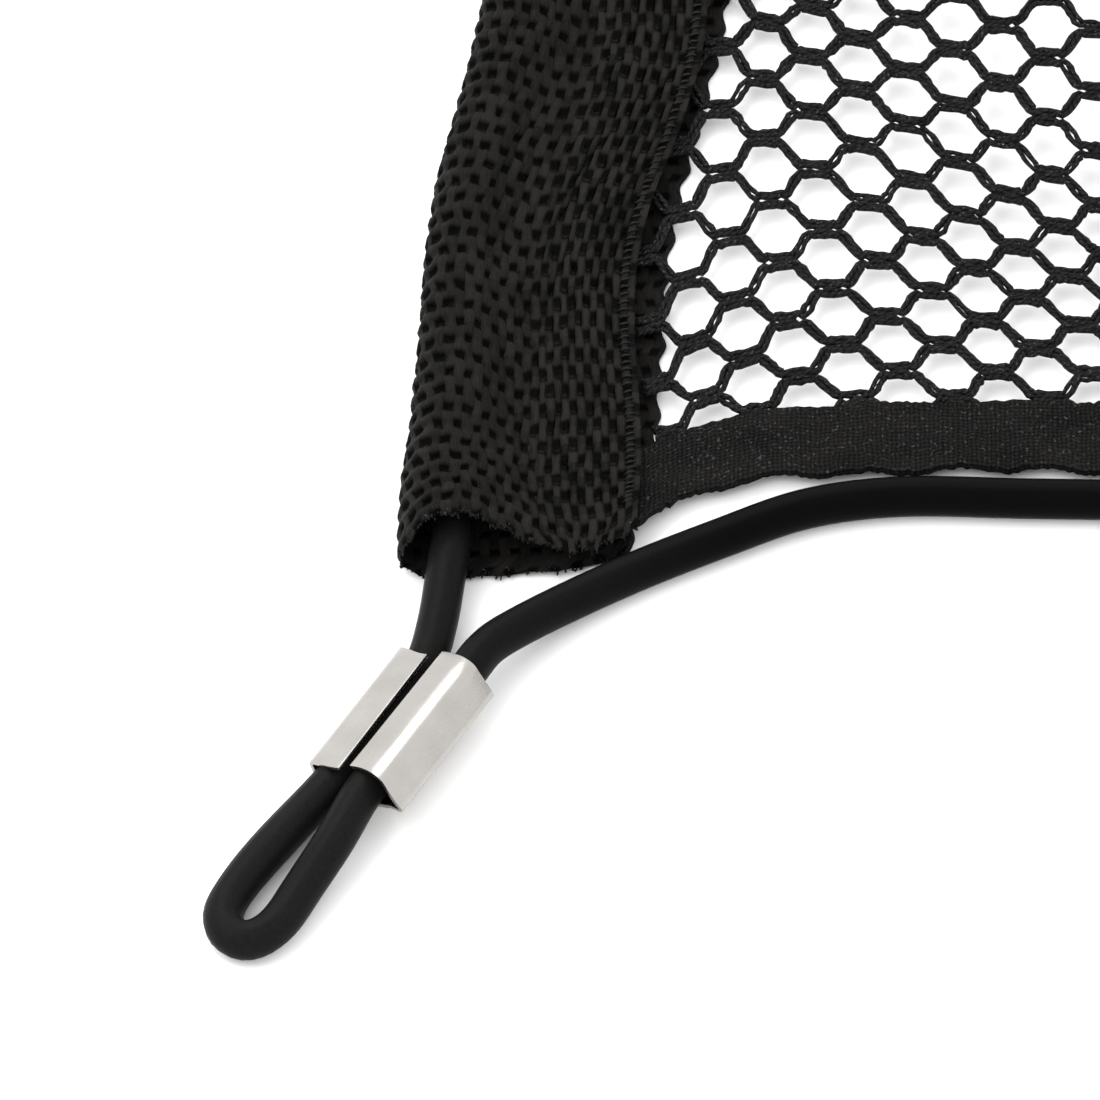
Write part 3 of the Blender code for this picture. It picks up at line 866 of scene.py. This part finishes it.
def makeSleeves(material):
    w = webbing
    picks = 2 * sleeve["halfLength"] / w["pick"]
    rows = [pick + part for pick in range(int(picks) + 1) for part in pickRows if pick + part < picks - 0.05]
    rows = np.array(rows + [picks]) * w["pick"] - sleeve["halfLength"]
    # columns of points, in mm of the webbing's width: four to each yarn that shows, and wider ones below
    yarnPlaces = np.arange(0, 30, 0.25)
    edgeYarns = w["edgeZone"] / w["warpAtEdge"]
    fine = np.where(yarnPlaces < edgeYarns, yarnPlaces * w["warpAtEdge"],
                    w["edgeZone"] + (yarnPlaces - edgeYarns) * w["warp"])
    outer = np.concatenate([fine, np.arange(fine[-1] + 0.6, 38.0, 0.6),
                            np.linspace(39.0, w["width"], 9)]) / w["width"]
    inner = np.concatenate([np.arange(58.7, 54.5, -0.45), np.linspace(52.0, 37.0, 5),
                            np.linspace(35.5, 24.5, 10), np.linspace(23.0, 13.5, 6),
                            [9.0, 4.0, 0.3]]) / w["width"]
    left = foldedBand("webbing_left", rows, sleeveSection, outer, inner, webbingLift, webbingWander)
    right = halfTurn(left, "webbing_right")
    for piece, node in ((left, "sleeve_left"), (right, "sleeve_right")):
        finishPiece(piece, material, "webbing", node)
    print(len(left.data.vertices) * 2, "triangles in a sleeve")


fray = {
    "count": 300,
    "radius": 0.12,
    "start": (-0.2, 0.3),    # below and above the cut's middle line
    "outward": 1.6,
    "upper": {"length": (0.1, 0.3), "rise": (-0.7, 0.8)},
    "lower": {"length": (0.15, 0.5), "rise": (-0.2, 0.4)},
    "sideways": 0.3,
    "sag": -0.15,
    "spread": 0.3,
}


def makeFrays(material):
    # loose fibre ends along the sleeves' cut ends
    runs = []
    for end in (-1, 1):
        line = sleeveSection(end * sleeve["halfLength"])
        for _ in range(fray["count"]):
            index = random.randrange(len(line))
            ply = fray["lower" if index >= webbing["upperPoints"] + webbing["foldPoints"] else "upper"]
            start = Vector(line[index])
            start.z += random.uniform(*fray["start"])
            aim = Vector((random.uniform(-1, 1), end * fray["outward"], random.uniform(*ply["rise"])))
            aim = aim.normalized() * random.uniform(*ply["length"])
            sag = Vector((random.uniform(-fray["sideways"], fray["sideways"]), 0.0, fray["sag"]))
            runs.append([start - aim * 0.4, start + aim * 0.4, start + aim + sag * fray["spread"]])
    left = yarns("fray_left", runs, fray["radius"])
    right = halfTurn(left, "fray_right")
    for piece in (left, right):
        finishPiece(piece, material, "webbing")


# ---- edge tape

tape = {
    "width": 9.9,
    "flat": 21.0,
    "outerY": 93.0,
    "radius": 0.38,
    "level": 2.0,
    "thickness": 0.2,     # middle line to either face
    "pull": 9.0,          # toward the net, where the sleeves hold it
    "pullReach": 8.7,
    "end": 146.0,
    "yarn": 0.56,
    "row": 0.5,
    "liftFrom": 136.5,    # inside the sleeves it lies higher and thinner
    "liftOver": 4.0,
    "lift": 0.55,
    "thinner": 0.1,
    "ripple": (0.4, 0.25),
    "innerWave": 0.2,     # of its free edges, and of its folded one
    "innerRagged": 0.10,
    "outerRagged": 0.13,
    "uneven": 0.05,
    "facePoints": 14,
    "foldPoints": 12,
    "outerPoints": 26,
    "innerPoints": 8,
}
ragged = np.random.default_rng(3).normal(0, 1, (2, 700))


def cornerPull(x):
    inner = sleeve["cornerX"] - sleeve["upperWidth"]
    return tape["pull"] * np.exp(-(inner - np.minimum(abs(x), inner)) / tape["pullReach"])


def tapeSection(x):
    # the tape is made along Y and then laid along X
    end = float(smooth((abs(x) - tape["liftFrom"]) / tape["liftOver"]))
    radius = tape["radius"] - tape["thinner"] * end
    row = round((x + tape["end"]) / tape["row"])
    level = tape["level"] + tape["lift"] * end
    ripple = tape["ripple"][0] * math.sin(x / 1.7) + tape["ripple"][1] * math.sin(x / 4.1 + 1.0)
    inner = tape["width"] + tape["innerWave"] * math.sin(x / 2.3) + tape["innerRagged"] * ragged[0, row]
    face = tape["facePoints"]
    angle = np.linspace(math.pi / 2, 3 * math.pi / 2, tape["foldPoints"])[1:-1]
    d = np.concatenate([np.linspace(inner, radius, face), radius + radius * np.cos(angle),
                        np.linspace(radius, inner, face)])
    z = np.concatenate([np.full(face, radius), radius * np.sin(angle), np.full(face, -radius)])
    z = level + z * (1 - 0.25 * np.clip(d / inner, 0, 1))
    line = np.zeros((len(d), 3))
    ripple += tape["outerRagged"] * ragged[1, row]
    line[:, 0] = -tape["outerY"] - cornerPull(x) + d + ripple * np.exp(-d / 3.0)
    line[:, 1] = x
    line[:, 2] = z
    return line


def makeTapes(material):
    width = tape["flat"]
    rows = np.arange(-tape["end"], tape["end"] + 0.1, tape["row"])
    outer = np.linspace(0, 1, tape["outerPoints"])
    inner = np.linspace(0.995, 0.005, tape["innerPoints"])

    def lift(where, x, faces):
        across = where * width / tape["yarn"]
        along = x / tape["yarn"]
        uneven = tape["uneven"] * np.sin(where * 31 + x * 0.7) * np.sin(x * 1.3)
        return tape["thickness"] * faces + uneven, across, along

    def straight(s, x):
        return 0.0 * s

    lower = foldedBand("tape_lower_cloth", rows, tapeSection, outer, inner, lift, straight)
    places = np.zeros(len(lower.data.vertices) * 3)
    lower.data.vertices.foreach_get("co", places)
    places = places.reshape(-1, 3)
    lower.data.vertices.foreach_set("co", places[:, [1, 0, 2]].ravel())
    lower.data.flip_normals()
    upper = halfTurn(lower, "tape_upper_cloth")
    for piece, node in ((lower, "tape_lower"), (upper, "tape_upper")):
        finishPiece(piece, material, "binding", node)


# ---- net

net = {
    "column": 5.6,        # from one column of joints to the next
    "row": 8.02,
    "level": 2.0,
    "yarn": 0.40,         # radius
    "half": 0.31,         # from a pair's middle to each of its yarns
    "rows": 11,           # to each side of the middle
    "columns": 26,
    "apart": 0.55,        # from a joint's middle to each of its two pairs
    "lean": 4.9,
    "leanReach": 30.0,
    "under": 3.0,         # how far the net runs in under the sleeve
    "halfWidth": 81,
    "reach": 86.0,        # its outermost yarns, inside the tapes
    "freeOver": 22.0,     # waves fade out this close to what holds it
    "holeAt": 1.2,        # small gaps between a joint's yarns: place, reach, width and chance
    "holeReach": 0.35,
    "holePush": 0.6,
    "holePinch": 0.4,
    "hole": (0.16, 0.42),
    "holeChance": [[[0.8]], [[0.55]]],
    "legHole": (0.05, 0.13),
    "legHoleChance": 0.13,
    "jitter": 0.035,
    "twist": 0.1,
    "thickness": (0.8, 1.16),
    "draws": 60,          # more rows and columns of chances than the net has
}
jointPlaces = [-1.75, -1.25, -0.65, 0.0, 0.65, 1.25, 1.75]
legShares = [0.16, 0.33, 0.5, 0.67, 0.84]
tugs = [    # where the net is drawn along its own surface
    {"x": -125.6, "y": -40.9, "radius": 21.2, "toX": -2.2, "toY": 3.6},
    {"x": -134.6, "y": -74.4, "radius": 18.5, "toX": -1.7, "toY": 2.2},
    {"x": -150.0, "y": -74.4, "radius": 22.0, "toX": 1.0, "toY": -9.0},
    {"x": -134.4, "y": -25.0, "radius": 12.7, "toX": 1.3, "toY": 3.6},
    {"x": -80.1, "y": -42.3, "radius": 26.7, "toX": -2.0, "toY": -4.4},
]
waves = [
    {"x": -84.0, "y": -24.0, "radius": 24.0, "height": 3.0},
    {"x": -101.0, "y": 46.0, "radius": 27.0, "height": 2.2},
    {"x": -38.0, "y": 22.0, "radius": 34.0, "height": 3.0},
    {"x": -22.0, "y": -48.0, "radius": 24.0, "height": 1.8},
    {"x": 44.0, "y": -16.0, "radius": 32.0, "height": 3.2},
    {"x": 38.0, "y": 52.0, "radius": 24.0, "height": 1.6},
    {"x": 96.0, "y": 26.0, "radius": 28.0, "height": 3.4},
    {"x": 104.0, "y": -44.0, "radius": 24.0, "height": 2.0},
]


def bell(x, y, spot):
    return np.exp(-((x - spot["x"]) ** 2 + (y - spot["y"]) ** 2) / spot["radius"] ** 2)


def drapeNet(a, b):
    # where a point of the flat, even net lies once it is sewn in
    half, reach = net["halfWidth"], net["leanReach"]
    x = a + net["lean"] * (np.exp(-(half + b) / reach) - np.exp(-(half - b) / reach))
    y = b.copy()
    for tug in tugs:
        here, there = bell(a, b, tug), bell(-a, -b, tug)
        x = x + tug["toX"] * (here - there)
        y = y + tug["toY"] * (here - there)
    fromSide = sleeve["cornerX"] - sleeve["lowerWidth"] - waist(y) - abs(x)
    fromTape = tape["outerY"] - tape["width"] - abs(y)
    free = smooth(fromSide / net["freeOver"]) * smooth(fromTape / net["freeOver"])
    rise = sum(wave["height"] * bell(x, y, wave) for wave in waves)
    over = smooth((abs(x) - tape["liftFrom"]) / tape["liftOver"]) * smooth((abs(y) - 80) / tape["liftOver"])
    return x, y, net["level"] + rise * free + tape["lift"] * over


def pairPath(row, up, holes, legHoles):
    # a pair of yarns that zigzags along the net: middle (a, b) and half of its width
    pitch = net["row"]
    a, b, half = [], [], []
    for column in range(-net["columns"], net["columns"]):
        middle = net["column"] * (column + 0.5)
        even = column % 2 == 0
        if up:
            joint, side, tie = (row - 0.25, 1, row) if even else (row + 0.25, -1, row)
        else:
            joint, side, tie = (row + 0.75, -1, row + 1) if even else (row + 0.25, 1, row)
        opening = holes[:, column, tie]
        for place in jointPlaces:
            wide = opening[0] * math.exp(-((place + net["holeAt"]) / net["holeReach"]) ** 2)
            wide += opening[1] * math.exp(-((place - net["holeAt"]) / net["holeReach"]) ** 2)
            a.append(middle + place)
            b.append(joint * pitch + side * (net["apart"] + net["holePush"] * wide))
            half.append(net["half"] - net["holePinch"] * wide)
        climb = pitch / 2 - 2 * net["apart"]
        for index, share in enumerate(legShares):
            ease = 0.6 * share + 0.4 * float(smooth(share))
            a.append(middle + jointPlaces[-1] + (net["column"] - 2 * jointPlaces[-1]) * share)
            b.append(joint * pitch + side * (net["apart"] + climb * ease))
            half.append(net["half"] + legHoles[index, column, row, int(up)])
    return np.array(a), np.array(b), np.array(half)


def makeNet(material):
    chance = np.random.default_rng(11)
    at = (2, net["draws"], net["draws"])
    holes = chance.uniform(*net["hole"], at)
    holes = holes * (chance.random(at) < net["holeChance"])
    at = (len(legShares), net["draws"], net["draws"], 2)
    legHoles = chance.uniform(*net["legHole"], at)
    legHoles = legHoles * (chance.random(at) < net["legHoleChance"])
    names = ["net_near", "net_middle", "net_far"]
    bands = {name: ([], []) for name in names}
    paths = [(row, up) for row in range(-net["rows"], net["rows"]) for up in (False, True)]
    middles = [(row + (0.5 if not up else 0)) * net["row"] for row, up in paths]
    paths = [path for path, middle in zip(paths, middles) if abs(middle) < net["reach"]]
    for index, (row, up) in enumerate(paths):
        a, b, half = pairPath(row, up, holes, legHoles)
        x, y, z = drapeNet(a, b)
        side = np.stack([-np.gradient(y), np.gradient(x)], 1)
        side /= np.linalg.norm(side, axis=1)[:, None]
        edge = sleeve["cornerX"] - sleeve["upperWidth"] - waist(y)
        shown = abs(x) < edge + net["under"]
        runs, sizes = bands[names[index * len(names) // len(paths)]]
        for strand in (-1, 1):
            jitter = chance.normal(0, net["jitter"], (3, len(x)))
            run = np.stack([x + side[:, 0] * half * strand + jitter[0],
                            y + side[:, 1] * half * strand + jitter[1],
                            z + net["twist"] * strand * np.sin(a * 2.1 + row) + jitter[2]], 1)
            runs.append(run[shown])
            sizes.append(chance.uniform(*net["thickness"], int(shown.sum())))
    for name, (runs, sizes) in bands.items():
        piece = yarns(name, runs, net["yarn"], thickness=sizes)
        finishPiece(piece, material, "netting")
        print(name, len(piece.data.polygons) * 2, "triangles")
    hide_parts("net_panel")


# ---- overlock stitches along each sleeve's upper free edge

stitch = {
    "pitch": 1.06,
    "end": 4.0,          # from the sleeve's end to the first
    "from": 0.55,        # from the free edge
    "to": 1.95,
    "rise": ((0.0, 0.2), (0.3, 0.5), (0.65, 0.55), (1.0, 0.2)),    # share of the way, and height
    "slant": 0.35,
    "jitter": 0.08,
    "radius": 0.16,
}


def makeStitches(material):
    runs = []
    upper = webbing["upperPoints"]
    y = -sleeve["halfLength"] + stitch["end"]
    while y < sleeve["halfLength"] - stitch["end"]:
        line = sleeveSection(y)
        run = []
        for share, lift in stitch["rise"]:
            inward = stitch["from"] + (stitch["to"] - stitch["from"]) * share
            x = line[0, 0] - inward
            z = np.interp(-x, -line[:upper, 0], line[:upper, 2])
            stray = random.uniform(-stitch["jitter"], stitch["jitter"])
            run.append((x, line[0, 1] + stitch["slant"] * (0.5 - share) + stray, z + lift))
        runs.append(run)
        y += stitch["pitch"]
    left = yarns("overlock_left", runs, stitch["radius"])
    right = halfTurn(left, "overlock_right")
    for piece in (left, right):
        finishPiece(piece, material, "webbing")


makeCamera()
nickel = nickelLook()
crimps = {corner: makeFerrule(corner, nickel) for corner in corners}
print("ferrules made")
makeCords(cordLook())
makeSleeves(webbingLook())
thread = threadLook()
makeFrays(thread)
print("sleeves made")
makeTapes(tapeLook())
print("tapes made")
makeNet(netLook())
print("net made")
makeStitches(thread)
print("stitches made")
makeFloor()
makeLight()
